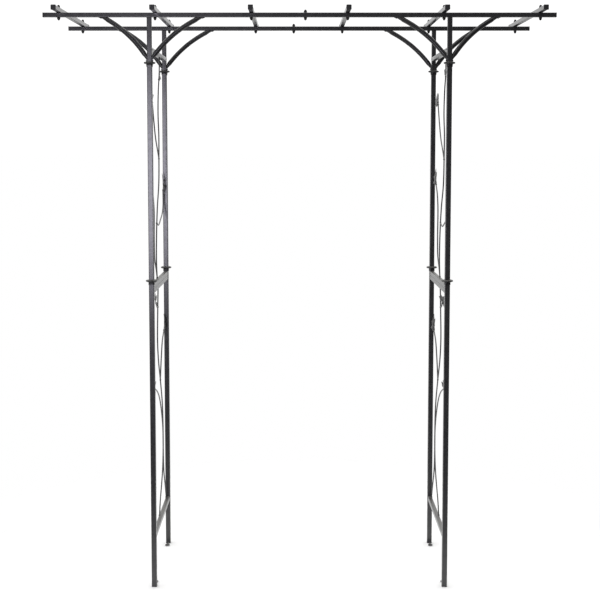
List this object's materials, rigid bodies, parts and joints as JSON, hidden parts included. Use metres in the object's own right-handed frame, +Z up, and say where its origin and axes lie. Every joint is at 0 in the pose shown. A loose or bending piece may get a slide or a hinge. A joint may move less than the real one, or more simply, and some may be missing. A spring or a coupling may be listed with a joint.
{
  "type": "garden trellis arch",
  "caption": "Free-standing metal garden arch with square tube posts, a slatted flat top, curved brackets and leafy wire trellis sides.",
  "frame": {"origin": "on the ground under the middle of the arch, halfway between the four posts", "axes": "+Z up, +X to the right across the walkway, -Y towards the front, so the walkway runs along Y"},
  "size_m": [1.844, 0.714, 2.13],
  "materials": {
    "powder_coated_steel": "satin charcoal powder coat over welded steel tube",
    "powder_coated_wire": "satin charcoal powder coat over steel wire and pressed leaves",
    "cast_collar": "near-black satin paint on cast collars",
    "blackened_bolts": "black-finished domed bolts and nuts",
    "end_caps": "moulded black plastic tube end caps"
  },
  "bodies": {
    "root": {"post_lower_front_left": "powder_coated_steel", "post_lower_front_right": "powder_coated_steel", "post_lower_rear_left": "powder_coated_steel", "post_lower_rear_right": "powder_coated_steel", "post_middle_front_left": "powder_coated_steel", "post_middle_front_right": "powder_coated_steel", "post_middle_rear_left": "powder_coated_steel", "post_middle_rear_right": "powder_coated_steel", "post_top_front_left": "powder_coated_steel", "post_top_front_right": "powder_coated_steel", "post_top_rear_left": "powder_coated_steel", "post_top_rear_right": "powder_coated_steel", "collar_lower_front_left": "cast_collar", "collar_lower_front_right": "cast_collar", "collar_lower_rear_left": "cast_collar", "collar_lower_rear_right": "cast_collar", "collar_upper_front_left": "cast_collar", "collar_upper_front_right": "cast_collar", "collar_upper_rear_left": "cast_collar", "collar_upper_rear_right": "cast_collar", "bracket_outer_front_left": "powder_coated_steel", "bracket_outer_front_right": "powder_coated_steel", "bracket_outer_rear_left": "powder_coated_steel", "bracket_outer_rear_right": "powder_coated_steel", "bracket_inner_front_left": "powder_coated_steel", "bracket_inner_front_right": "powder_coated_steel", "bracket_inner_rear_left": "powder_coated_steel", "bracket_inner_rear_right": "powder_coated_steel", "bracket_bolt_front_left": "blackened_bolts", "bracket_bolt_front_right": "blackened_bolts", "bracket_bolt_rear_left": "blackened_bolts", "bracket_bolt_rear_right": "blackened_bolts", "ground_eye_front_left": "powder_coated_wire", "ground_eye_front_right": "powder_coated_wire", "ground_eye_rear_left": "powder_coated_wire", "ground_eye_rear_right": "powder_coated_wire", "rail_front_left": "powder_coated_steel", "rail_front_right": "powder_coated_steel", "rail_rear_left": "powder_coated_steel", "rail_rear_right": "powder_coated_steel", "rail_bolt_front": "blackened_bolts", "rail_bolt_rear": "blackened_bolts", "slat_1": "powder_coated_steel", "slat_2": "powder_coated_steel", "slat_3": "powder_coated_steel", "slat_4": "powder_coated_steel", "slat_5": "powder_coated_steel", "slat_6": "powder_coated_steel", "side_bar_lower_left": "powder_coated_steel", "side_bar_lower_right": "powder_coated_steel", "side_bar_middle_lower_left": "powder_coated_steel", "side_bar_middle_lower_right": "powder_coated_steel", "side_bar_middle_upper_left": "powder_coated_steel", "side_bar_middle_upper_right": "powder_coated_steel", "side_bar_upper_left": "powder_coated_steel", "side_bar_upper_right": "powder_coated_steel", "trellis_upper_right": "powder_coated_wire", "trellis_upper_left": "powder_coated_wire", "trellis_lower_right": "powder_coated_wire", "trellis_lower_left": "powder_coated_wire"}
  },
  "joints": []
}
